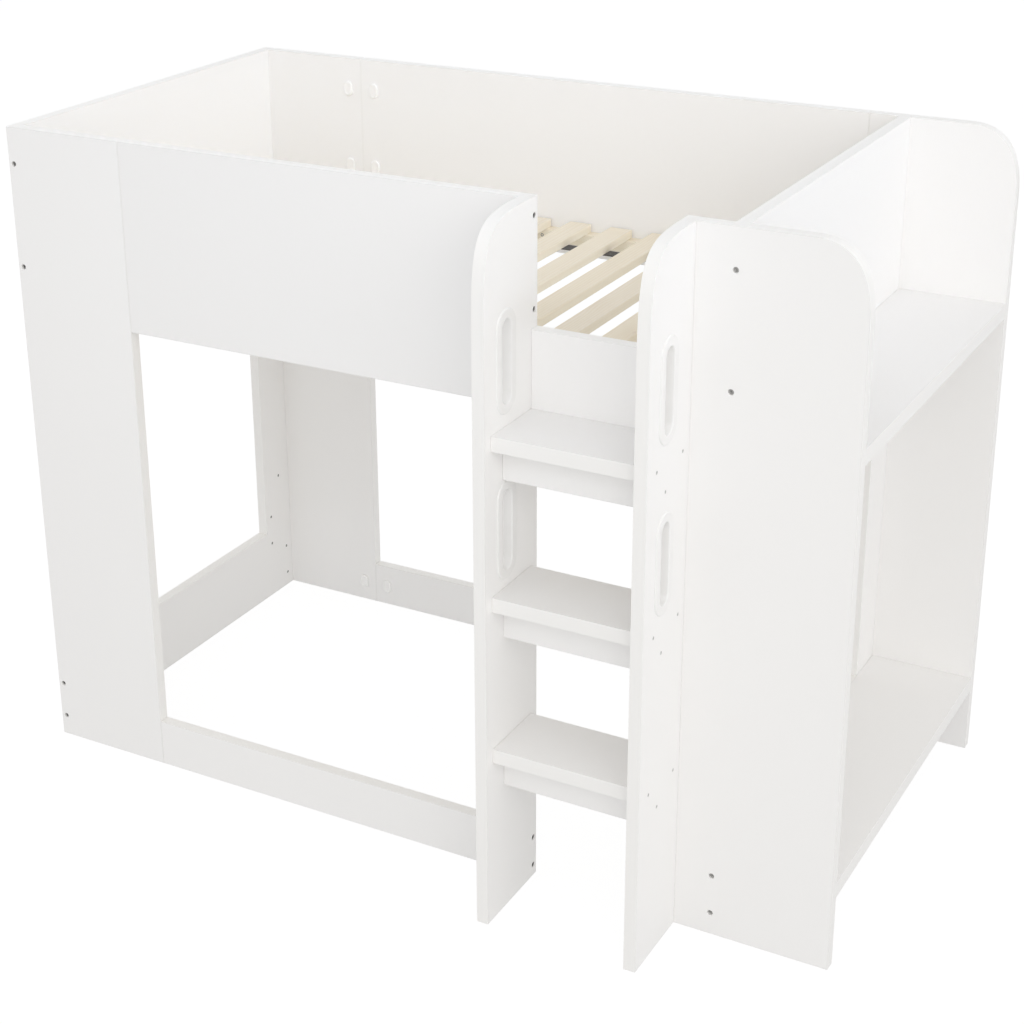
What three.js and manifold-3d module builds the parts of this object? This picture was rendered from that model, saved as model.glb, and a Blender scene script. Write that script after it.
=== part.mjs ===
// Child's bunk bed in white laminated board, with a ladder at the front, a
// shelf bay at the right-hand end and a deck of pine slats.
// Millimetres, +Z up. The design coordinates below are measured from the left
// outer side (x), from the outer face of the front boards (y, rearwards) and
// from the floor (z). The whole bed hangs in one group that moves the origin to
// the middle of its footprint, on the floor.

import * as THREE from 'three';
import { mergeVertices } from 'three/addons/utils/BufferGeometryUtils.js';
import Module from 'manifold-3d';

const wasm = await Module();
wasm.setup();

// ---------------------------------------------------------------- dimensions
const BOARD = 25;                 // board thickness
const LENGTH = 1900;              // left side to the right edge of the shelf bay
const DEPTH = 960;                // front boards to back boards, outside
const HEIGHT = 1465;              // every tall board
const LADDER_OUT = 185;           // how far the ladder sides stand in front

const STILE = 295;                // width of the left-hand upright boards
const RAIL_LOW = 1052;            // lower edge of the guard rails
const BASE_RAIL = 110;            // height of the rails on the floor
const LADDER_X0 = 1225;           // outer faces of the ladder, left and right
const LADDER_X1 = 1575;
const ENTRY_LOW = 1021;           // board under the entry gap
const ENTRY_TOP = 1212;
const END_X = 1640;               // inner face of the right end board
const WINDOW_Y0 = 136;            // opening in the end boards
const WINDOW_Y1 = 824;
const WINDOW_Z0 = 184;
const WINDOW_Z1 = 1052;

const CORNER_X = 110;             // rounded top corner of the shelf bay sides
const CORNER_Z = 147;
const CORNER_PULL = 0.68;         // how far the curve is drawn into the corner
const NOSE_Y = 172;               // rounded top front corner of the ladder sides
const NOSE_Z = 215;
const NOSE_PULL = 0.88;

const SLOT_Y = -100;              // hand holes in the ladder sides, centre
const SLOT_Z = [1180, 842];
const SLOT_W = 36;                // clear opening
const SLOT_H = 166;
const LINER_WALL = 4;             // plastic lining inside the hole
const LINER_LIP = 20;             // lip round the opening
const LINER_PROUD = 3;
const GAP = 0.3;                  // clearance round fitted pieces

const TREAD_T = 31;
const TREAD_TOPS = [1053, 723, 393];
const TREAD_FRONT = -160;
const TREAD_BACK = 0;
const BEARER_Y0 = -115;           // board on edge under each tread
const BEARER_Y1 = -90;
const BEARER_LOWS = [949, 619, 289];

const SHELF_UP = [1053, 1086];
const SHELF_LOW = [151, 185];

const LEDGER = 30;                // pine rails that carry the slats
const LEDGER_LOW = 1085;
const SLATS = 15;
const SLAT_W = 55;
const SLAT_T = 20;
const SLAT_FIRST = 28.5;
const SLAT_PITCH = 105;
const SLAT_END_GAP = 4;
const STRAP_W = 36;
const STRAP_T = 2;
const STRAP_Y = [144, 780];

const BOLT_Z = [1385, 1157, 135, 49];
const BOLT_HEAD_R = 5.6;
const BOLT_SUNK = 4;              // the heads lie this deep in their bores
const BOLT_HEAD = 7;              // depth of the underside of the head
const BOLT_SHANK_R = 3.2;
const BOLT_LENGTH = 50;
const SCREW_R = 3.6;              // small screws in blind pockets
const SCREW_DEEP = 14;
const RAIL_SCREW_R = 5.8;         // larger heads in the left ladder side
// places as (y, z)
const RAIL_SCREWS = [[12.5, 1429], [12.5, 1248], [12.5, 92], [12.5, 25]];
const TREAD_SCREWS = [
  [-142, 1039], [-27, 1038], [-101, 986],
  [-138, 708], [-27, 707], [-101, 660],
  [-142, 377], [-27, 369], [-101, 328],
];
const END_SCREWS = [[889, 331], [847, 226], [846, 149], [911, 115], [912, 36]];
const CAP_W = 24;                 // upright oval covers on the back boards
const CAP_H = 37;
const CAP_RISE = 6;
const CAP_STEM_R = 4;
const CAP_STEM = 7;
const CAP_X = [259, 331];
const CAP_Z = [1391, 1200, 52];

// ----------------------------------------------------------------- materials
const laminate = () => new THREE.MeshStandardMaterial({ color: 0xf3f2ef, roughness: 0.45, metalness: 0 });
const pine = () => new THREE.MeshStandardMaterial({ color: 0xecdcbb, roughness: 0.6, metalness: 0 });
const webbing = () => new THREE.MeshStandardMaterial({ color: 0x2a2725, roughness: 0.9, metalness: 0 });
const plastic = () => new THREE.MeshStandardMaterial({ color: 0xf6f6f4, roughness: 0.35, metalness: 0 });
const zinc = () => new THREE.MeshStandardMaterial({ color: 0x6b6d70, roughness: 0.4, metalness: 1 });

const bed = new THREE.Group();
bed.position.set(-LENGTH / 2, -(DEPTH - LADDER_OUT) / 2, 0);

function piece(name, geometry, material) {
  const mesh = new THREE.Mesh(geometry, material);
  mesh.name = name;
  bed.add(mesh);
  return mesh;
}

// ------------------------------------------------------------ cut and join
function toSolid(geometry) {
  const g = geometry.clone();
  for (const key of Object.keys(g.attributes)) if (key !== 'position') g.deleteAttribute(key);
  const m = mergeVertices(g, 1e-4);
  return new wasm.Manifold(new wasm.Mesh({
    numProp: 3,
    vertProperties: new Float32Array(m.attributes.position.array),
    triVerts: new Uint32Array(m.index.array),
  }));
}

function toGeometry(solid) {
  const mesh = solid.getMesh();
  const g = new THREE.BufferGeometry();
  g.setAttribute('position', new THREE.BufferAttribute(Float32Array.from(mesh.vertProperties), 3));
  g.setIndex(Array.from(mesh.triVerts));
  g.computeVertexNormals();
  return g;
}

function cut(base, ...tools) {
  let solid = toSolid(base);
  for (const tool of tools) solid = solid.subtract(toSolid(tool));
  return toGeometry(solid);
}

function join(first, ...others) {
  let solid = toSolid(first);
  for (const other of others) solid = solid.add(toSolid(other));
  return toGeometry(solid);
}

// --------------------------------------------------------------- primitives
function block(x0, x1, y0, y1, z0, z1) {
  const g = new THREE.BoxGeometry(x1 - x0, y1 - y0, z1 - z0);
  g.translate((x0 + x1) / 2, (y0 + y1) / 2, (z0 + z1) / 2);
  return g;
}

// A board that lies in the plane y-z: outline and holes are given as (y, z).
function boardYZ(shape, x0, x1, curveSegments = 16) {
  const g = new THREE.ExtrudeGeometry(shape, { depth: x1 - x0, bevelEnabled: false, curveSegments });
  // local (x, y, z) -> design (y, z, x)
  g.applyMatrix4(new THREE.Matrix4().set(
    0, 0, 1, x0,
    1, 0, 0, 0,
    0, 1, 0, 0,
    0, 0, 0, 1));
  return g;
}

// A board that lies in the plane x-z: outline and holes are given as (x, z).
function boardXZ(shape, y0, y1, curveSegments = 16) {
  const g = new THREE.ExtrudeGeometry(shape, { depth: y1 - y0, bevelEnabled: false, curveSegments });
  // local (x, y, z) -> design (x, z, -y), so the board is built backwards
  g.applyMatrix4(new THREE.Matrix4().set(
    1, 0, 0, 0,
    0, 0, -1, y1,
    0, 1, 0, 0,
    0, 0, 0, 1));
  return g;
}

// An upright rounded slot, centre (y, z), as a closed outline.
function oval(path, y, z, width, height) {
  const r = width / 2;
  const half = height / 2 - r;
  path.moveTo(y + r, z - half);
  path.lineTo(y + r, z + half);
  path.absarc(y, z + half, r, 0, Math.PI, false);
  path.lineTo(y - r, z - half);
  path.absarc(y, z - half, r, Math.PI, Math.PI * 2, false);
  return path;
}

// A turned piece on the y axis through (x, y, z); the profile is (radius,
// distance), with the distance counted rearwards.
function turnedY(profile, x, y, z, segments = 12) {
  const g = new THREE.LatheGeometry(profile.map(([r, d]) => new THREE.Vector2(r, d)), segments);
  g.translate(x, y, z);
  return g;
}

// A blind pocket for a small screw, sunk along x into the face at x; dir is the
// way in, +1 or -1.
function pocketX(x, dir, y, z, screwR = SCREW_R) {
  const r = screwR + GAP;
  const g = new THREE.LatheGeometry([
    new THREE.Vector2(0, -1), new THREE.Vector2(r, -1), new THREE.Vector2(r, SCREW_DEEP), new THREE.Vector2(0, SCREW_DEEP),
  ], 12);
  g.rotateZ(dir > 0 ? -Math.PI / 2 : Math.PI / 2);
  g.translate(x, y, z);
  return g;
}

// -------------------------------------------------------------- front boards
const rightEdge = END_X + BOARD / 2;            // middle of the right end board

// Connecting screw, its head sunk below the outer face, driven rearwards.
function boltProfile(top, e) {
  return [
    [0, top], [BOLT_HEAD_R + e, top], [BOLT_HEAD_R + e, BOLT_HEAD + e],
    [BOLT_SHANK_R + e, BOLT_HEAD + e], [BOLT_SHANK_R + e, BOLT_LENGTH + e], [0, BOLT_LENGTH + e],
  ];
}
const boltBody = (x, z) => turnedY(boltProfile(BOLT_SUNK, 0), x, 0, z);
const boltBore = (x, z) => turnedY(boltProfile(-1, GAP), x, 0, z);

const leftBoltX = BOARD / 2;
const leftBores = BOLT_Z.map((z) => boltBore(leftBoltX, z));
const rightBores = BOLT_Z.map((z) => boltBore(rightEdge, z));

piece('front_left_stile', cut(block(0, STILE, 0, BOARD, 0, HEIGHT), ...leftBores), laminate());
piece('front_guard_rail', block(STILE, LADDER_X0, 0, BOARD, RAIL_LOW, HEIGHT), laminate());
piece('front_bottom_rail', block(STILE, LADDER_X0, 0, BOARD, 0, BASE_RAIL), laminate());
piece('entry_panel', block(LADDER_X0 + BOARD, LADDER_X1 - BOARD, 0, BOARD, ENTRY_LOW, ENTRY_TOP), laminate());

function baySide() {
  const s = new THREE.Shape();
  s.moveTo(LADDER_X1, 0);
  s.lineTo(LENGTH, 0);
  s.lineTo(LENGTH, HEIGHT - CORNER_Z);
  s.bezierCurveTo(
    LENGTH, HEIGHT - CORNER_Z * (1 - CORNER_PULL),
    LENGTH - CORNER_X * (1 - CORNER_PULL), HEIGHT,
    LENGTH - CORNER_X, HEIGHT);
  s.lineTo(LADDER_X1, HEIGHT);
  s.closePath();
  return s;
}
piece('front_right_panel', cut(boardXZ(baySide(), 0, BOARD, 24), ...rightBores), laminate());
piece('back_right_panel', boardXZ(baySide(), DEPTH - BOARD, DEPTH, 24), laminate());

// ---------------------------------------------------------------- end boards
function endBoard() {
  const s = new THREE.Shape();
  s.moveTo(BOARD, 0);
  s.lineTo(DEPTH - BOARD, 0);
  s.lineTo(DEPTH - BOARD, HEIGHT);
  s.lineTo(BOARD, HEIGHT);
  s.closePath();
  const w = new THREE.Path();
  w.moveTo(WINDOW_Y0, WINDOW_Z0);
  w.lineTo(WINDOW_Y0, WINDOW_Z1);
  w.lineTo(WINDOW_Y1, WINDOW_Z1);
  w.lineTo(WINDOW_Y1, WINDOW_Z0);
  w.closePath();
  s.holes.push(w);
  return s;
}
const endPockets = END_SCREWS.map(([y, z]) => pocketX(BOARD, -1, y, z));
piece('left_end_panel', cut(boardYZ(endBoard(), 0, BOARD), ...leftBores, ...endPockets), laminate());
piece('right_end_panel', cut(boardYZ(endBoard(), END_X, END_X + BOARD), ...rightBores), laminate());

for (const [i, z] of BOLT_Z.entries()) {
  piece(`left_frame_bolt_${i + 1}`, boltBody(leftBoltX, z), zinc());
  piece(`right_frame_bolt_${i + 1}`, boltBody(rightEdge, z), zinc());
}

// --------------------------------------------------------------- back boards
function capProfile(extra) {
  const e = extra;
  return [[0, -e], [CAP_STEM_R + e, -e], [CAP_STEM_R + e, CAP_STEM + e], [0, CAP_STEM + e]];
}
const capBack = DEPTH - BOARD;
const capBores = (x) => CAP_Z.map((z) => turnedY(capProfile(GAP), x, capBack, z));
// Oval cover: rim flat on the board, face stepped in towards the front, stem in
// a blind hole behind it. Each layer is (inset, from, to), the last two as
// shares of the rise.
const CAP_LAYERS = [[0, 0, 0.5], [1, 0.5, 0.82], [3, 0.82, 1]];
function capBody(x, z) {
  const layers = CAP_LAYERS.map(([inset, from, to]) => boardXZ(
    oval(new THREE.Shape(), x, z, CAP_W - 2 * inset, CAP_H - 2 * inset),
    capBack - CAP_RISE * to, capBack - CAP_RISE * from, 8));
  const stem = turnedY([[0, -1], [CAP_STEM_R, -1], [CAP_STEM_R, CAP_STEM], [0, CAP_STEM]], x, capBack, z);
  return join(...layers, stem);
}

const [stileCaps, railCaps] = [capBores(CAP_X[0]), capBores(CAP_X[1])];
piece('back_left_stile', cut(block(0, STILE, DEPTH - BOARD, DEPTH, 0, HEIGHT), ...stileCaps), laminate());
piece('back_upper_rail', cut(block(STILE, LADDER_X1, DEPTH - BOARD, DEPTH, RAIL_LOW, HEIGHT), railCaps[0], railCaps[1]), laminate());
piece('back_bottom_rail', cut(block(STILE, LADDER_X1, DEPTH - BOARD, DEPTH, 0, BASE_RAIL), railCaps[2]), laminate());
const capRow = ['upper', 'middle', 'lower'];
for (const [i, z] of CAP_Z.entries()) {
  piece(`cover_cap_${capRow[i]}_stile`, capBody(CAP_X[0], z), plastic());
  piece(`cover_cap_${capRow[i]}_rail`, capBody(CAP_X[1], z), plastic());
}

// -------------------------------------------------------------------- ladder
function ladderSide() {
  const s = new THREE.Shape();
  s.moveTo(-LADDER_OUT, 0);
  s.lineTo(BOARD, 0);
  s.lineTo(BOARD, HEIGHT);
  s.lineTo(-LADDER_OUT + NOSE_Y, HEIGHT);
  s.bezierCurveTo(
    -LADDER_OUT + NOSE_Y * (1 - NOSE_PULL), HEIGHT,
    -LADDER_OUT, HEIGHT - NOSE_Z * (1 - NOSE_PULL),
    -LADDER_OUT, HEIGHT - NOSE_Z);
  s.closePath();
  for (const z of SLOT_Z) {
    s.holes.push(oval(new THREE.Path(), SLOT_Y, z, SLOT_W + 2 * (LINER_WALL + GAP), SLOT_H + 2 * (LINER_WALL + GAP)));
  }
  return s;
}

// Plastic lining of a hand hole: a sleeve through the board and a lip on each
// face.
function sleeve(z, lip, x0, x1) {
  const s = oval(new THREE.Shape(), SLOT_Y, z, SLOT_W + 2 * lip, SLOT_H + 2 * lip);
  s.holes.push(oval(new THREE.Path(), SLOT_Y, z, SLOT_W, SLOT_H));
  return boardYZ(s, x0, x1, 10);
}
function liner(z, x0, x1) {
  return join(
    sleeve(z, LINER_WALL, x0 - LINER_PROUD, x1 + LINER_PROUD),
    sleeve(z, LINER_LIP, x0 - LINER_PROUD, x0),
    sleeve(z, LINER_LIP, x1, x1 + LINER_PROUD));
}

// Screws run through the left side into the rails and, from the outer face of
// each side, into the treads and their bearers.
const ladderPockets = {
  left: [
    ...RAIL_SCREWS.map(([y, z]) => pocketX(LADDER_X0 + BOARD, -1, y, z, RAIL_SCREW_R)),
    ...TREAD_SCREWS.map(([y, z]) => pocketX(LADDER_X0, 1, y, z)),
  ],
  right: TREAD_SCREWS.map(([y, z]) => pocketX(LADDER_X1, -1, y, z)),
};
for (const [side, x0] of [['left', LADDER_X0], ['right', LADDER_X1 - BOARD]]) {
  piece(`ladder_${side}_upright`, cut(boardYZ(ladderSide(), x0, x0 + BOARD, 28), ...ladderPockets[side]), laminate());
  piece(`hand_slot_liner_${side}_upper`, liner(SLOT_Z[0], x0, x0 + BOARD), plastic());
  piece(`hand_slot_liner_${side}_lower`, liner(SLOT_Z[1], x0, x0 + BOARD), plastic());
}

const inside = [LADDER_X0 + BOARD, LADDER_X1 - BOARD];
for (const [i, top] of TREAD_TOPS.entries()) {
  piece(`tread_${i + 1}`, block(...inside, TREAD_FRONT, TREAD_BACK, top - TREAD_T, top), laminate());
  piece(`tread_bearer_${i + 1}`, block(...inside, BEARER_Y0, BEARER_Y1, BEARER_LOWS[i], top - TREAD_T), laminate());
}

// ----------------------------------------------------------------- shelf bay
const bay = [END_X + BOARD, LENGTH, BOARD, DEPTH - BOARD];
piece('upper_shelf', block(...bay, ...SHELF_UP), laminate());
piece('lower_shelf', block(...bay, ...SHELF_LOW), laminate());

// ----------------------------------------------------------------- slat deck
const deckTop = LEDGER_LOW + LEDGER;
piece('front_slat_ledger', block(BOARD, END_X, BOARD, BOARD + LEDGER, LEDGER_LOW, deckTop), pine());
piece('back_slat_ledger', block(BOARD, END_X, DEPTH - BOARD - LEDGER, DEPTH - BOARD, LEDGER_LOW, deckTop), pine());
for (let i = 0; i < SLATS; i += 1) {
  const x = SLAT_FIRST + i * SLAT_PITCH;
  piece(`slat_${String(i + 1).padStart(2, '0')}`,
    block(x, x + SLAT_W, BOARD + SLAT_END_GAP, DEPTH - BOARD - SLAT_END_GAP, deckTop, deckTop + SLAT_T), pine());
}
const strapEnds = [SLAT_FIRST, SLAT_FIRST + (SLATS - 1) * SLAT_PITCH + SLAT_W];
piece('webbing_strap_front', block(...strapEnds, STRAP_Y[0], STRAP_Y[0] + STRAP_W, deckTop - STRAP_T, deckTop), webbing());
piece('webbing_strap_back', block(...strapEnds, STRAP_Y[1], STRAP_Y[1] + STRAP_W, deckTop - STRAP_T, deckTop), webbing());

export default bed;
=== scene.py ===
import math
import random

import bmesh
import bpy
from mathutils import Matrix, Vector


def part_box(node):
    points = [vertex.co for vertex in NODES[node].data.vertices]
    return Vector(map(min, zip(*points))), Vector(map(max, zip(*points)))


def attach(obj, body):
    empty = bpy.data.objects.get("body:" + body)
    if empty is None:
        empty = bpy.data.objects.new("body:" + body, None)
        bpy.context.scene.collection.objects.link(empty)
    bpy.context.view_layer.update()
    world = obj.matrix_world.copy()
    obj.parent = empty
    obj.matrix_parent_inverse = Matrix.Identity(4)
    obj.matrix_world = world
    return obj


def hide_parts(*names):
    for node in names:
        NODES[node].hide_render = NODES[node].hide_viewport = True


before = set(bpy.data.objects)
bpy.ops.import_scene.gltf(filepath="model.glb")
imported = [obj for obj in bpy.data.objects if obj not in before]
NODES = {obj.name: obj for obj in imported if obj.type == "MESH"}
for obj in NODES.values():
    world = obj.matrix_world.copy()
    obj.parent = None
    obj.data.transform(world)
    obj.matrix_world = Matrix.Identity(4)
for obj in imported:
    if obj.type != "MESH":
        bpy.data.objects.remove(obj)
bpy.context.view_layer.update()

RNG = random.Random(4127)

# Design coordinates: millimetres from the left outer side, the front boards'
# outer face and the floor.
OX, OY = 950.0, 387.5


def W(x, y, z):
    return Vector(((x - OX) / 1000.0, (y - OY) / 1000.0, z / 1000.0))


SKY = 0.745              # light of the white surround
FLOOR_GLOW = 0.366       # light that the floor adds of its own

# ------------------------------------------------------------------ materials
class Graph:
    """A small helper for building a node material."""

    def __init__(self, name, **shader):
        self.mat = bpy.data.materials.new(name)
        self.mat.use_nodes = True
        self.tree = self.mat.node_tree
        self.tree.nodes.clear()
        self.out = self.tree.nodes.new("ShaderNodeOutputMaterial")
        self.bsdf = self.tree.nodes.new("ShaderNodeBsdfPrincipled")
        self.tree.links.new(self.bsdf.outputs["BSDF"], self.out.inputs["Surface"])
        for key, value in shader.items():
            self.bsdf.inputs[key.replace("_", " ")].default_value = value

    def put(self, socket, value):
        if isinstance(value, bpy.types.NodeSocket):
            self.tree.links.new(value, socket)
        elif value is not None:
            socket.default_value = value

    def node(self, kind, ins=None, **props):
        n = self.tree.nodes.new(kind)
        for key, value in props.items():
            setattr(n, key, value)
        for key, value in (ins or {}).items():
            self.put(n.inputs[key], value)
        return n

    def math(self, op, a, b=None, c=None, clamp=False):
        n = self.node("ShaderNodeMath", operation=op, use_clamp=clamp)
        self.put(n.inputs[0], a)
        if b is not None:
            self.put(n.inputs[1], b)
        if c is not None:
            self.put(n.inputs[2], c)
        return n.outputs[0]

    def vmath(self, op, a, b=None):
        n = self.node("ShaderNodeVectorMath", operation=op)
        self.put(n.inputs[0], a)
        if b is not None:
            self.put(n.inputs[1], b)
        return n.outputs[0]

    def coords(self):
        return self.node("ShaderNodeTexCoord")

    def noise(self, vector, scale, detail=2.0, rough=0.5, distort=0.0):
        n = self.node("ShaderNodeTexNoise", {"Vector": vector, "Scale": scale, "Detail": detail, "Roughness": rough, "Distortion": distort})
        return n.outputs["Fac"]

    def spread(self, value, lo, hi, a, b, smooth=True):
        n = self.node("ShaderNodeMapRange", {"Value": value, "From Min": lo, "From Max": hi, "To Min": a, "To Max": b},
                      interpolation_type="SMOOTHSTEP" if smooth else "LINEAR")
        return n.outputs["Result"]

    def mix(self, fac, a, b, blend="MIX"):
        n = self.node("ShaderNodeMix", data_type="RGBA", blend_type=blend)
        self.put(n.inputs["Factor"], fac)
        self.put(n.inputs["A"], a)
        self.put(n.inputs["B"], b)
        return n.outputs["Result"]

    def bump(self, height, strength, distance, normal=None):
        n = self.node("ShaderNodeBump", {"Height": height, "Strength": strength, "Distance": distance})
        if normal is not None:
            self.put(n.inputs["Normal"], normal)
        return n.outputs["Normal"]

    def finish(self, color=None, rough=None, normal=None):
        if color is not None:
            self.put(self.bsdf.inputs["Base Color"], color)
        if rough is not None:
            self.put(self.bsdf.inputs["Roughness"], rough)
        if normal is not None:
            self.put(self.bsdf.inputs["Normal"], normal)
        return self.mat


def rgb(r, g, b):
    return (r, g, b, 1.0)


LAMINATE = rgb(0.958, 0.950, 0.941)
EDGE_BAND = rgb(0.960, 0.951, 0.934)
GLUE_LINE = rgb(0.700, 0.685, 0.660)


def laminate(node, tint=1.0):
    """White melamine board; tint makes the whole board lighter or darker as painted light and shade. Faces with a fine
    pressed texture, edges closed with a smoother banding strip whose glue line shows a millimetre in."""
    part = lambda colour: tuple(c * tint for c in colour[:3]) + (1.0,)
    lo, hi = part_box(node)
    size = hi - lo
    thin = min(range(3), key=lambda i: size[i])
    flat = [i for i in range(3) if i != thin]
    g = Graph(f"laminate_{node}", IOR=1.47)
    tc = g.coords()
    pos = g.node("ShaderNodeSeparateXYZ", {0: tc.outputs["Object"]})
    nor = g.node("ShaderNodeSeparateXYZ", {0: tc.outputs["Normal"]})
    on_edge = g.math("LESS_THAN", g.math("ABSOLUTE", nor.outputs[thin]), 0.6)
    # distance from the nearest outer edge of the board
    reach = None
    for i in flat:
        for d in (g.math("SUBTRACT", pos.outputs[i], float(lo[i])), g.math("SUBTRACT", float(hi[i]), pos.outputs[i])):
            reach = d if reach is None else g.math("MINIMUM", reach, d)
    # across the thickness, for the strip's own two long edges
    glue = g.math("COMPARE", reach, 0.0013, 0.00022)
    glue = g.math("MULTIPLY", glue, g.math("SUBTRACT", 1.0, on_edge))
    drift = g.noise(tc.outputs["Object"], 2.3, 3.0, 0.55)
    mottle = g.noise(tc.outputs["Object"], 160.0, 4.0, 0.6)
    grain = g.noise(tc.outputs["Object"], 1500.0, 2.0, 0.5)
    tone = g.mix(g.spread(drift, 0.3, 0.7, 0.0, 1.0), part(LAMINATE), part(rgb(0.964, 0.956, 0.947)))
    tone = g.mix(g.spread(mottle, 0.35, 0.75, 0.0, 0.22), tone, part(rgb(0.940, 0.931, 0.921)))
    tone = g.mix(g.spread(grain, 0.60, 0.80, 0.0, 0.18), tone, part(rgb(0.915, 0.903, 0.888)))
    tone = g.mix(on_edge, tone, EDGE_BAND)
    tone = g.mix(g.math("MULTIPLY", glue, 0.55), tone, GLUE_LINE)
    rough = g.spread(mottle, 0.3, 0.7, 0.40, 0.50)
    rough = g.math("SUBTRACT", rough, g.math("MULTIPLY", on_edge, 0.08))
    peel = g.noise(tc.outputs["Object"], 620.0, 3.0, 0.55)
    height = g.math("ADD", g.math("MULTIPLY", peel, 0.8), g.math("MULTIPLY", grain, 0.2))
    height = g.math("SUBTRACT", height, g.math("MULTIPLY", glue, 0.9))
    normal = g.bump(height, 0.22, 0.00010)
    return g.finish(tone, rough, normal)


def pine(name, seed, along):
    """Planed pine: growth lines drawn out along the piece, fine fibres and a
    knot here and there."""
    r = random.Random(seed)
    g = Graph(f"pine_{name}", IOR=1.45)
    tc = g.coords()
    shift = g.vmath("ADD", tc.outputs["Object"], (r.uniform(-9, 9), r.uniform(-9, 9), r.uniform(-9, 9)))
    stretch = [1.0, 1.0, 1.0]
    stretch[along] = 0.055
    long = g.vmath("MULTIPLY", shift, tuple(stretch))
    # knots: soft cells, few and far between
    knot_at = g.vmath("MULTIPLY", shift, tuple(0.42 if i == along else 1.0 for i in range(3)))
    cell = g.node("ShaderNodeTexVoronoi", {"Vector": knot_at, "Scale": 7.5, "Randomness": 1.0}, feature="F1")
    dist = g.math("ADD", cell.outputs["Distance"], g.math("MULTIPLY", g.noise(shift, 60.0, 3.0), 0.05))
    knot = g.spread(dist, 0.085, 0.125, 1.0, 0.0)
    halo = g.spread(dist, 0.10, 0.34, 1.0, 0.0)
    # growth lines bend round the knots
    wander = g.noise(long, 9.0, 3.0, 0.55)
    across = g.node("ShaderNodeSeparateXYZ", {0: long})
    line_axis = 0 if along == 1 else 1
    ring = g.math("ADD", g.math("MULTIPLY", across.outputs[line_axis], 1.0), g.math("MULTIPLY", across.outputs[2], 0.55))
    ring = g.math("ADD", ring, g.math("MULTIPLY", wander, 0.060))
    ring = g.math("ADD", ring, g.math("MULTIPLY", halo, 0.012))
    saw = g.math("FRACT", g.math("MULTIPLY", ring, r.uniform(105.0, 150.0)))
    late = g.math("MULTIPLY", g.spread(saw, 0.25, 0.88, 0.0, 1.0), g.spread(saw, 0.90, 1.0, 1.0, 0.0))
    fibre_at = g.vmath("MULTIPLY", shift, tuple(0.02 if i == along else 1.0 for i in range(3)))
    fibre = g.noise(fibre_at, 900.0, 3.0, 0.6)
    cloud = g.noise(long, 26.0, 3.0, 0.6)
    warm = r.uniform(0.0, 1.0)
    early = rgb(0.882 + 0.02 * warm, 0.816 + 0.01 * warm, 0.700 - 0.02 * warm)
    latew = rgb(0.815 + 0.02 * warm, 0.704 + 0.01 * warm, 0.530)
    tone = g.mix(g.math("MULTIPLY", late, 0.45), early, latew)
    tone = g.mix(g.spread(cloud, 0.35, 0.75, 0.0, 0.30), tone, rgb(0.850, 0.768, 0.626))
    tone = g.mix(g.spread(fibre, 0.45, 0.80, 0.0, 0.25), tone, rgb(0.800, 0.692, 0.516))
    # painted bounce light: the side faces of the slats are mixed towards a lighter, yellower pine, standing in for
    # light thrown between neighbouring slats
    upright = g.node("ShaderNodeSeparateXYZ", {0: tc.outputs["Normal"]})
    side = g.math("LESS_THAN", g.math("ABSOLUTE", upright.outputs[2]), 0.6)
    tone = g.mix(g.math("MULTIPLY", side, 0.55), tone, rgb(0.985, 0.915, 0.760))
    tone = g.mix(g.math("MULTIPLY", halo, 0.12), tone, rgb(0.620, 0.450, 0.270))
    tone = g.mix(g.math("MULTIPLY", knot, 0.70), tone, rgb(0.330, 0.180, 0.090))
    rough = g.spread(fibre, 0.3, 0.8, 0.52, 0.68)
    height = g.math("ADD", g.math("MULTIPLY", fibre, 0.7), g.math("MULTIPLY", late, 0.5))
    normal = g.bump(height, 0.35, 0.00018)
    return g.finish(tone, rough, normal)


def webbing_material():
    """Black woven polypropylene band, the weave running along x."""
    g = Graph("webbing_weave", IOR=1.45)
    tc = g.coords()
    pos = g.node("ShaderNodeSeparateXYZ", {0: tc.outputs["Object"]})
    warp = g.math("SINE", g.math("MULTIPLY", pos.outputs[1], 2 * math.pi / 0.0024))
    weft = g.math("SINE", g.math("MULTIPLY", pos.outputs[0], 2 * math.pi / 0.0017))
    weave = g.math("ADD", g.math("MULTIPLY", g.math("MULTIPLY", warp, weft), 0.5), 0.5)
    fuzz = g.noise(tc.outputs["Object"], 1800.0, 3.0, 0.6)
    tone = g.mix(weave, rgb(0.010, 0.009, 0.009), rgb(0.052, 0.046, 0.042))
    tone = g.mix(g.spread(fuzz, 0.5, 0.8, 0.0, 0.5), tone, rgb(0.085, 0.076, 0.068))
    height = g.math("ADD", weave, g.math("MULTIPLY", fuzz, 0.3))
    g.bsdf.inputs["Sheen Weight"].default_value = 0.25
    g.bsdf.inputs["Sheen Roughness"].default_value = 0.5
    return g.finish(tone, g.spread(fuzz, 0.2, 0.8, 0.72, 0.92), g.bump(height, 0.6, 0.0004))


def moulded_plastic(name="white_moulded_plastic", painted_light_lift=0.0):
    """White moulded plastic, faintly pebbled; a raised level gives a lighter copy of it as painted light."""
    g = Graph(name, IOR=1.49)
    tc = g.coords()
    pebble = g.noise(tc.outputs["Object"], 2600.0, 2.0, 0.5)
    flow = g.noise(tc.outputs["Object"], 18.0, 2.0, 0.5)
    tone = g.mix(g.spread(flow, 0.3, 0.7, 0.0, 1.0), rgb(0.925 + painted_light_lift, 0.919 + painted_light_lift, 0.909 + painted_light_lift), rgb(0.905 + painted_light_lift, 0.899 + painted_light_lift, 0.889 + painted_light_lift))
    return g.finish(tone, g.spread(flow, 0.3, 0.7, 0.30, 0.38), g.bump(pebble, 0.12, 0.00006))


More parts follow.
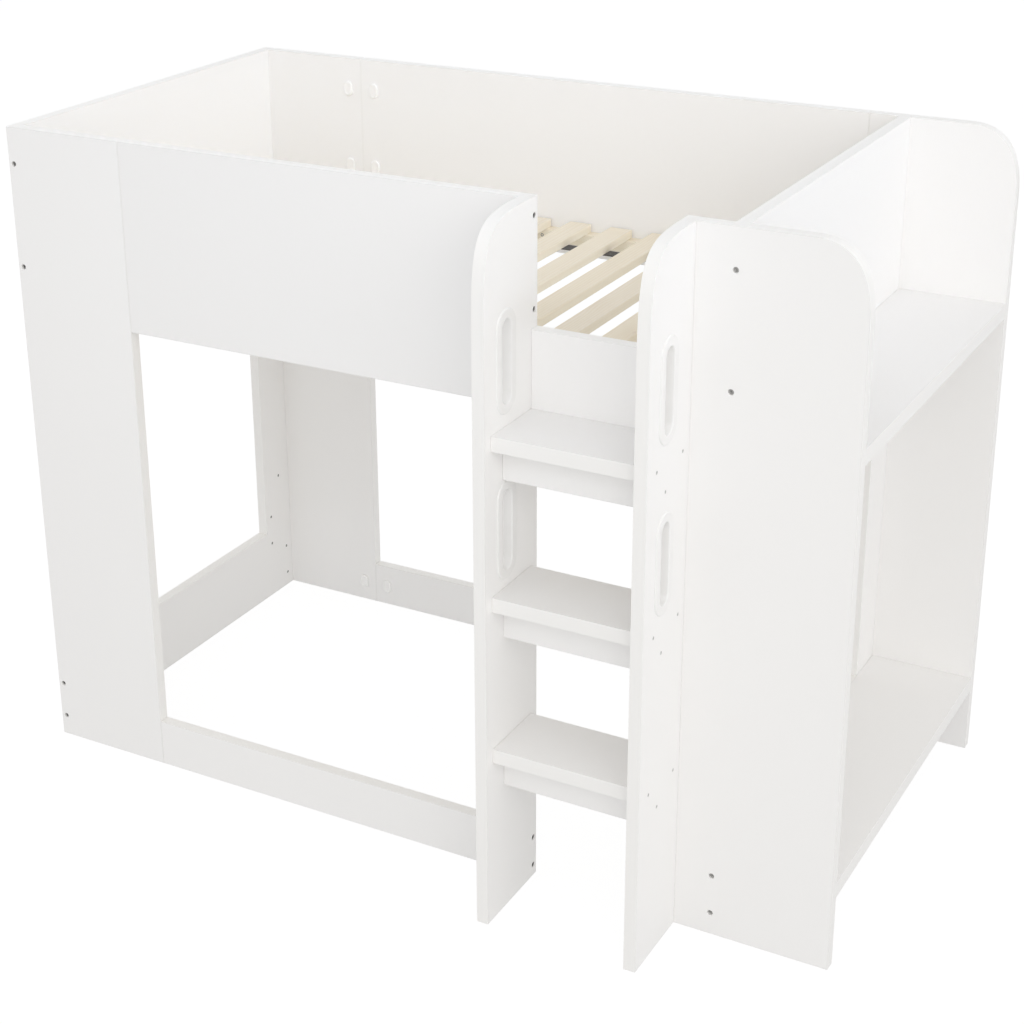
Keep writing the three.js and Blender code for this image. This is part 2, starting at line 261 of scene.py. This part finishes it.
def zinc(name, tint):
    """Zinc-plated steel, with turned rings and a little dulling."""
    g = Graph(name, Metallic=1.0)
    tc = g.coords()
    dull = g.noise(tc.outputs["Object"], 420.0, 4.0, 0.6)
    scuff = g.noise(g.vmath("MULTIPLY", tc.outputs["Object"], (1.0, 1.0, 6.0)), 1300.0, 2.0, 0.5)
    tone = g.mix(g.spread(dull, 0.3, 0.7, 0.0, 1.0), rgb(*tint), rgb(*(c * 0.62 for c in tint)))
    rough = g.spread(dull, 0.25, 0.75, 0.30, 0.52)
    return g.finish(tone, rough, g.bump(scuff, 0.15, 0.00005))


def floor_material():
    """Pale studio floor. It shows nearly white, and throws back less light
    than it shows, as a photographer's lit sweep does once it is exposed out."""
    g = Graph("pale_floor", IOR=1.4)
    tc = g.coords()
    wash = g.noise(tc.outputs["Object"], 0.9, 3.0, 0.5)
    tone = g.mix(g.spread(wash, 0.3, 0.7, 0.0, 1.0), rgb(0.34, 0.34, 0.34), rgb(0.36, 0.36, 0.36))
    g.bsdf.inputs["Emission Color"].default_value = rgb(1, 1, 1)
    g.bsdf.inputs["Emission Strength"].default_value = FLOOR_GLOW
    g.bsdf.inputs["Specular IOR Level"].default_value = 0.0
    g.finish(tone, 0.9)
    seen = g.node("ShaderNodeBsdfPrincipled", {"Base Color": rgb(0.11, 0.11, 0.11), "Roughness": 0.9, "Specular IOR Level": 0.0,
                                              "Emission Color": rgb(1, 1, 1), "Emission Strength": 0.925})
    path = g.node("ShaderNodeLightPath")
    both = g.node("ShaderNodeMixShader", {0: path.outputs["Is Camera Ray"], 1: g.bsdf.outputs["BSDF"], 2: seen.outputs["BSDF"]})
    g.put(g.out.inputs["Surface"], both.outputs[0])
    return g.mat


PLASTIC = moulded_plastic()
# painted light: the caps take a lighter copy of the white plastic, standing in for the light their domed faces catch
COVER_PLASTIC_PAINTED_LIGHT = moulded_plastic("cover_plastic_with_painted_light", 0.065)
WEBBING = webbing_material()
ZINC = zinc("zinc_plated_steel", (0.420, 0.415, 0.406))
# painted light: a lighter copy of the zinc, for bolt heads that catch the light
ZINC_PAINTED_LIGHT = zinc("zinc_plated_steel_painted_light", (0.620, 0.614, 0.603))
# painted shade: a darker copy of the zinc, for screws that sit in shade low down
ZINC_PAINTED_SHADE = zinc("zinc_plated_steel_painted_shade", (0.230, 0.227, 0.222))
BRIGHT = zinc("bright_zinc_plated_steel", (0.760, 0.755, 0.745))


# ------------------------------------------------- boards and timber, kept CAD
def set_material(obj, *materials):
    obj.data.materials.clear()
    for m in materials:
        obj.data.materials.append(m)


def ease_edges(obj, width, segments=2):
    """Joins the split corners, turns flat fans into whole faces, rounds every
    sharp edge a little and evens the normals."""
    weld = obj.modifiers.new("weld", "WELD")
    weld.merge_threshold = 0.00002
    flat = obj.modifiers.new("flat_faces", "DECIMATE")
    flat.decimate_type = "DISSOLVE"
    flat.angle_limit = math.radians(0.4)
    bevel = obj.modifiers.new("eased_edges", "BEVEL")
    bevel.width = width
    bevel.segments = segments
    bevel.limit_method = "ANGLE"
    bevel.angle_limit = math.radians(50)
    bevel.harden_normals = False
    even = obj.modifiers.new("even_normals", "WEIGHTED_NORMAL")
    even.mode = "FACE_AREA"
    even.weight = 60
    even.keep_sharp = False


BOARDS = [
    "front_left_stile", "front_guard_rail", "front_bottom_rail", "entry_panel",
    "front_right_panel", "back_right_panel", "left_end_panel", "right_end_panel",
    "back_left_stile", "back_upper_rail", "back_bottom_rail",
    "ladder_left_upright", "ladder_right_upright",
    "tread_1", "tread_2", "tread_3", "tread_bearer_1", "tread_bearer_2", "tread_bearer_3",
    "upper_shelf", "lower_shelf",
]
# painted light and shade: each board is made lighter or darker as a whole for how the light falls on it; the treads
# and shelves are darkened as painted shade
BOARD_PAINTED_LIGHT_AND_SHADE = {"front_guard_rail": 0.986, "front_right_panel": 0.988, "front_left_stile": 1.012, "front_bottom_rail": 1.016,
         "ladder_left_upright": 1.010, "ladder_right_upright": 0.988, "entry_panel": 1.010,
         "upper_shelf": 0.950, "lower_shelf": 0.980, "tread_1": 0.950, "tread_2": 0.955, "tread_3": 0.980}
for n in BOARDS:
    set_material(NODES[n], laminate(n, BOARD_PAINTED_LIGHT_AND_SHADE.get(n, 1.0)))
    ease_edges(NODES[n], 0.0011)

for n in ("front_slat_ledger", "back_slat_ledger"):
    set_material(NODES[n], pine(n, 90 + len(n), 0))
    ease_edges(NODES[n], 0.0020, 3)
for i in range(1, 16):
    n = f"slat_{i:02d}"
    set_material(NODES[n], pine(n, 300 + 17 * i, 1))
    ease_edges(NODES[n], 0.0022, 3)
for n in ("webbing_strap_front", "webbing_strap_back"):
    set_material(NODES[n], WEBBING)
    ease_edges(NODES[n], 0.0006, 2)


# ------------------------------------------------------------- mesh helpers
def piece(name, verts, faces, material, sharp=38.0, stands_for=None):
    me = bpy.data.meshes.new(name)
    me.from_pydata([tuple(v) for v in verts], [], faces)
    me.validate()
    bm = bmesh.new()
    bm.from_mesh(me)
    bmesh.ops.recalc_face_normals(bm, faces=bm.faces)
    bm.to_mesh(me)
    bm.free()
    for p in me.polygons:
        p.use_smooth = True
    me.update()
    me.set_sharp_from_angle(angle=math.radians(sharp))
    obj = bpy.data.objects.new(name, me)
    bpy.context.scene.collection.objects.link(obj)
    obj.data.materials.append(material)
    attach(obj, "root")
    if stands_for:
        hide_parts(stands_for)
    return obj


def rings_mesh(rings, cap_first=True, cap_last=True, wrap=False):
    """Faces through a stack of closed rings that all have the same count."""
    n = len(rings[0])
    verts = [v for ring in rings for v in ring]
    faces = []
    last = len(rings) if wrap else len(rings) - 1
    for k in range(last):
        a, b = k * n, ((k + 1) % len(rings)) * n
        for j in range(n):
            j2 = (j + 1) % n
            faces.append((a + j, a + j2, b + j2, b + j))
    if not wrap and cap_first:
        faces.append(tuple(reversed(range(n))))
    if not wrap and cap_last:
        faces.append(tuple(range((len(rings) - 1) * n, len(rings) * n)))
    return verts, faces


def frame_about(axis):
    """Two directions square to axis, right-handed with it."""
    axis = Vector(axis).normalized()
    helper = Vector((0, 0, 1)) if abs(axis.z) < 0.9 else Vector((1, 0, 0))
    u = helper.cross(axis).normalized()
    return u, axis.cross(u), axis


def hexagon(apothem, angle):
    step = math.radians(60)
    return apothem / math.cos((angle % step) - step / 2)


def socket_screw(name, centre, outward, head, shank, length, sunk, material, turn=0.0, stands_for=None, count=24, socket=0.48, thick=3.4):
    """A screw with a flat round head, chamfered rim and a hexagon socket.
    centre lies in the face of the board, outward points out of it (mm)."""
    u, v, w = frame_about(outward)
    apothem = head * socket
    neck = min(1.6, thick - 0.3)

    def circle(radius, depth):
        ring = []
        for j in range(count):
            a = 2 * math.pi * j / count + turn
            r = radius(a - turn) if callable(radius) else radius
            ring.append(centre + (u * math.cos(a) + v * math.sin(a)) * (r / 1000.0) + w * (depth / 1000.0))
        return ring

    six = lambda a: hexagon(apothem, a)
    six_in = lambda a: hexagon(apothem * 0.86, a)
    rings = [
        circle(shank * 0.35, -length), circle(shank, -length + shank * 1.6), circle(shank, -thick - sunk),
        circle(head * 0.97, -neck - sunk), circle(head, -neck + 0.4 - sunk), circle(head, -0.45 - sunk), circle(head * 0.93, -sunk),
        circle(lambda a: apothem * 1.16 + (hexagon(apothem, a) - apothem) * 0.6, -sunk),
        circle(six, -0.25 - sunk), circle(six, -apothem - sunk), circle(six_in, -apothem * 1.15 - sunk),
    ]
    verts, faces = rings_mesh(rings)
    return piece(name, verts, faces, material, 32.0, stands_for)


# --------------------------------------------------------------- frame screws
BOLT_Z = [1385, 1157, 135, 49]
for side, x in (("left", 12.5), ("right", 1652.5)):
    for i, z in enumerate(BOLT_Z):
        # painted light: the right-hand bolts take the lighter copy of the zinc, standing in for the light their heads
        # catch
        socket_screw(f"socket_screw_{side}_frame_{i + 1}", W(x, 0, z), (0, -1, 0), 5.5, 3.1, 46, 4.0,
                     ZINC_PAINTED_LIGHT if side == "right" else ZINC, RNG.uniform(0, 1), f"{side}_frame_bolt_{i + 1}", thick=2.8)

RAIL_SCREWS = [(12.5, 1429), (12.5, 1248), (12.5, 92), (12.5, 25)]
TREAD_SCREWS = [
    (-142, 1039), (-27, 1038), (-101, 986),
    (-138, 708), (-27, 707), (-101, 660),
    (-142, 377), (-27, 369), (-101, 328),
]
END_SCREWS = [(889, 331), (847, 226), (846, 149), (911, 115), (912, 36)]
for i, (y, z) in enumerate(RAIL_SCREWS):
    # painted shade: the two low screws take the darker copy of the zinc, standing in for the shade near the floor
    socket_screw(f"rail_screw_{i + 1}", W(1250, y, z), (1, 0, 0), 5.7, 2.6, 13, 1.6, ZINC if z > 700 else ZINC_PAINTED_SHADE, RNG.uniform(0, 1))
for i, (y, z) in enumerate(TREAD_SCREWS):
    socket_screw(f"tread_screw_right_{i + 1}", W(1575, y, z), (1, 0, 0), 3.75, 2.0, 13, 0.1, BRIGHT, RNG.uniform(0, 1), socket=0.30)
    socket_screw(f"tread_screw_left_{i + 1}", W(1225, y, z), (-1, 0, 0), 3.75, 2.0, 13, 0.1, BRIGHT, RNG.uniform(0, 1), socket=0.30)
for i, (y, z) in enumerate(END_SCREWS):
    socket_screw(f"end_board_insert_{i + 1}", W(25, y, z), (1, 0, 0), 3.75, 2.0, 13, 0.2, ZINC, RNG.uniform(0, 1), socket=0.36)


# -------------------------------------------------------------- cover caps
def cover_cap(name, x, z, stands_for):
    """Press-in oval cover: upright, thick at the rim, with a shallow dish in
    its face. It stands on the inner face of the back, towards the front."""
    base = W(x, 935, z)
    # (radius, distance behind the face of the board, 1 = drawn out to an oval)
    profile = [
        (3.7, 6.9, 0), (4.0, 6.5, 0), (4.0, 0.2, 0), (11.7, 0.0, 1), (12.0, -0.4, 1), (12.0, -2.9, 1), (11.8, -3.8, 1),
        (11.2, -4.7, 1), (10.2, -5.4, 1), (9.0, -5.85, 1), (8.0, -6.0, 1), (7.2, -5.9, 1), (6.5, -5.5, 1), (5.9, -5.2, 1),
        (4.0, -5.1, 1), (0.8, -5.1, 1),
    ]
    count = 44
    rings = []
    for r, d, oval in profile:
        ring = []
        for j in range(count):
            a = -2 * math.pi * (j + 0.5) / count
            up = 6.5 * oval if math.sin(a) > 0 else -6.5 * oval
            ring.append(base + Vector((r * math.cos(a), d, r * math.sin(a) + up)) / 1000.0)
        rings.append(ring)
    verts, faces = rings_mesh(rings)
    return piece(name, verts, faces, COVER_PLASTIC_PAINTED_LIGHT, 40.0, stands_for)


for row, z in (("upper", 1391), ("middle", 1200), ("lower", 52)):
    for col, x in (("stile", 259), ("rail", 331)):
        cover_cap(f"oval_cap_{row}_{col}", x, z, f"cover_cap_{row}_{col}")


# --------------------------------------------------------- hand hole linings
def hand_liner(name, x0, z, stands_for):
    """One turned-over lip on each face of the board, joined by a sleeve."""
    half_w, half_s, yc = 18.0, 65.0, -100.0
    t = 25.0
    # (distance outwards from the opening, distance from the board's left face)
    section = [
        (0.0, 6.0), (0.0, 19.0), (0.0, t + 0.6), (0.35, t + 1.7), (1.2, t + 2.55), (2.6, t + 2.95), (5.0, t + 3.0),
        (8.0, t + 2.85), (12.0, t + 2.80), (15.5, t + 2.95), (17.6, t + 2.75), (18.9, t + 2.1), (19.7, t + 1.1), (20.0, t + 0.05),
        (4.0, t + 0.05), (4.0, -0.05),
        (20.0, -0.05), (19.7, -1.1), (18.9, -2.1), (17.6, -2.75), (15.5, -2.95), (12.0, -2.80), (8.0, -2.85),
        (5.0, -3.0), (2.6, -2.95), (1.2, -2.55), (0.35, -1.7), (0.0, -0.6),
    ]
    arc = 22
    path = []
    for k in range(arc + 1):
        a = math.pi * k / arc
        path.append((math.cos(a), math.sin(a), half_s))
    for k in range(1, 7):
        path.append((-1.0, 0.0, half_s - 2 * half_s * k / 7))
    for k in range(arc + 1):
        a = math.pi + math.pi * k / arc
        path.append((math.cos(a), math.sin(a), -half_s))
    for k in range(1, 7):
        path.append((1.0, 0.0, -half_s + 2 * half_s * k / 7))
    rings = []
    for c, s, up in path:
        rings.append([W(x0 + d, yc + (half_w + o) * c, z + up + (half_w + o) * s) for o, d in section])
    verts, faces = rings_mesh(rings, wrap=True)
    return piece(name, verts, [tuple(reversed(f)) for f in faces], PLASTIC, 50.0, stands_for)


for side, x0 in (("left", 1225), ("right", 1550)):
    for row, z in (("upper", 1180), ("lower", 842)):
        hand_liner(f"hand_hole_lip_{side}_{row}", x0, z, f"hand_slot_liner_{side}_{row}")


# ------------------------------------------- screws of the ledgers, staples
for k in range(7):
    x = 95 + k * 237.5
    for label, y, out in (("front", 55, 1), ("back", 905, -1)):
        socket_screw(f"ledger_screw_{label}_{k + 1}", W(x, y, 1100), (0, out, 0), 4.2, 2.0, 16, -0.35, ZINC, RNG.uniform(0, 1), count=18)


def staple_row(name, y):
    """Flat wire staples that hold the webbing to the underside of every slat:
    a crown under the strap and two legs up through it."""
    verts, faces = [], []
    half, wire = 6.0, 0.55
    for i in range(15):
        for s in (-1, 1):
            x = 28.5 + 105 * i + 27.5 + s * 14 + RNG.uniform(-1.5, 1.5)
            yy = y + 18 + RNG.uniform(-2, 2)
            a = RNG.uniform(-0.06, 0.06)
            ca, sa = math.cos(a), math.sin(a)
            # outline of the bent wire along the strap's width and upwards
            outline = [
                (-half, 1.2), (-half, -2 * wire), (half, -2 * wire), (half, 1.2),
                (half - 2 * wire, 1.2), (half - 2 * wire, 0.0), (-half + 2 * wire, 0.0), (-half + 2 * wire, 1.2),
            ]
            start = len(verts)
            for dx in (-wire, wire):
                for p, q in outline:
                    verts.append(W(x + dx * ca - p * sa, yy + dx * sa + p * ca, 1113.0 + q))
            k = len(outline)
            for j in range(k):
                j2 = (j + 1) % k
                faces.append((start + j, start + j2, start + k + j2, start + k + j))
            for o, turn in ((0, 1), (k, -1)):
                for quad in ((0, 1, 6, 7), (1, 2, 5, 6), (2, 3, 4, 5)):
                    faces.append(tuple(start + o + q for q in quad[::turn]))
    return piece(name, verts, faces, BRIGHT, 30.0)


staple_row("webbing_staples_front", 144)
staple_row("webbing_staples_back", 780)


# -------------------------------------------------------------------- stage
def make_floor():
    s = 60.0
    me = bpy.data.meshes.new("studio_floor")
    me.from_pydata([(-s, -s, 0), (s, -s, 0), (s, s, 0), (-s, s, 0)], [], [(0, 1, 2, 3)])
    obj = bpy.data.objects.new("studio_floor", me)
    bpy.context.scene.collection.objects.link(obj)
    obj.location.z = -0.0006
    obj.data.materials.append(floor_material())


make_floor()

world = bpy.data.worlds.new("studio_white")
bpy.context.scene.world = world
world.use_nodes = True
wt = world.node_tree
back = wt.nodes["Background"]
back.inputs["Color"].default_value = (1.0, 1.0, 1.0, 1.0)
back.inputs["Strength"].default_value = SKY
shown = wt.nodes.new("ShaderNodeBackground")
shown.inputs["Color"].default_value = (1.0, 1.0, 1.0, 1.0)
shown.inputs["Strength"].default_value = 1.0
ray = wt.nodes.new("ShaderNodeLightPath")
pick = wt.nodes.new("ShaderNodeMixShader")
wt.links.new(ray.outputs["Is Camera Ray"], pick.inputs[0])
wt.links.new(back.outputs[0], pick.inputs[1])
wt.links.new(shown.outputs[0], pick.inputs[2])
wt.links.new(pick.outputs[0], wt.nodes["World Output"].inputs["Surface"])


def softbox(name, at, towards, size, power, colour=(1.0, 1.0, 1.0)):
    data = bpy.data.lights.new(name, "AREA")
    data.color = colour
    data.shape = "RECTANGLE"
    data.size, data.size_y = size
    data.energy = power
    obj = bpy.data.objects.new(name, data)
    bpy.context.scene.collection.objects.link(obj)
    obj.location = Vector(at)
    obj.rotation_mode = "QUATERNION"
    obj.rotation_quaternion = (Vector(towards) - Vector(at)).to_track_quat("-Z", "Y")
    obj.visible_camera = False
    return obj


def around(azimuth, elevation, distance=8.0):
    """A place round the bed: azimuth 0 is in front, 90 at the right."""
    a, e = math.radians(azimuth), math.radians(elevation)
    return (distance * math.sin(a) * math.cos(e), -distance * math.cos(a) * math.cos(e), 0.8 + distance * math.sin(e))


MIDDLE = (0.0, 0.0, 0.8)
BIG = (4.5, 4.5)
WARM = (1.012, 0.996, 0.962)
softbox("key_right", around(60, 25), MIDDLE, BIG, 74.0, WARM)
softbox("key_front", around(30, 25), MIDDLE, BIG, 43.0, WARM)
softbox("low_front", around(30, 10), MIDDLE, BIG, 24.0, WARM)
softbox("high_right", around(60, 50), MIDDLE, BIG, 14.0, WARM)
softbox("low_right", around(90, 8), MIDDLE, BIG, 21.0, (0.980, 0.980, 1.040))
softbox("fill_front_left", around(-30, 25), MIDDLE, BIG, 17.0, WARM)
softbox("fill_back", around(238, 25), MIDDLE, BIG, 18.0)
# two narrow beams that lift the inside of the upper well
for name, at, to, side, spread, power in (
        ("well_from_right", W(5200, 480, 3900), W(100, 500, 1290), 1.2, 26, 1.05),
        ("well_from_front", W(1500, -2900, 4300), W(700, 935, 1300), 1.4, 30, 0.75)):
    beam = softbox(name, at, to, (side, side), power, (0.85, 0.96, 1.17))
    beam.data.spread = math.radians(spread)

bpy.context.scene.view_settings.view_transform = "Standard"
bpy.context.scene.view_settings.look = "None"
bpy.context.scene.view_settings.exposure = 0.0
bpy.context.scene.view_settings.gamma = 1.0

# ------------------------------------------------------------------- camera
FRAME_PX = 1024.0
CAM_AT = W(2873.38, -3114.33, 2423.76)
YAW, PITCH, ROLL = (math.radians(a) for a in (-29.3687, -21.3596, -0.5991))
FOCAL_PX, PPX, PPY = 1985.50, 471.67, 410.0

fwd = Vector((math.sin(YAW) * math.cos(PITCH), math.cos(YAW) * math.cos(PITCH), math.sin(PITCH)))
right = Vector((math.cos(YAW), -math.sin(YAW), 0.0))
up = right.cross(fwd)
r2 = right * math.cos(ROLL) + up * math.sin(ROLL)
u2 = up * math.cos(ROLL) - right * math.sin(ROLL)

cam_data = bpy.data.cameras.new("photo_camera")
cam = bpy.data.objects.new("photo_camera", cam_data)
bpy.context.scene.collection.objects.link(cam)
cam.matrix_world = Matrix((
    (r2.x, u2.x, -fwd.x, CAM_AT.x),
    (r2.y, u2.y, -fwd.y, CAM_AT.y),
    (r2.z, u2.z, -fwd.z, CAM_AT.z),
    (0.0, 0.0, 0.0, 1.0)))
cam_data.sensor_fit = "HORIZONTAL"
cam_data.sensor_width = 36.0
cam_data.lens = FOCAL_PX / FRAME_PX * 36.0
cam_data.shift_x = (FRAME_PX / 2 - PPX) / FRAME_PX
cam_data.shift_y = (PPY - FRAME_PX / 2) / FRAME_PX
cam_data.clip_start, cam_data.clip_end = 0.05, 300.0
cam_data.dof.use_dof = False
bpy.context.scene.camera = cam
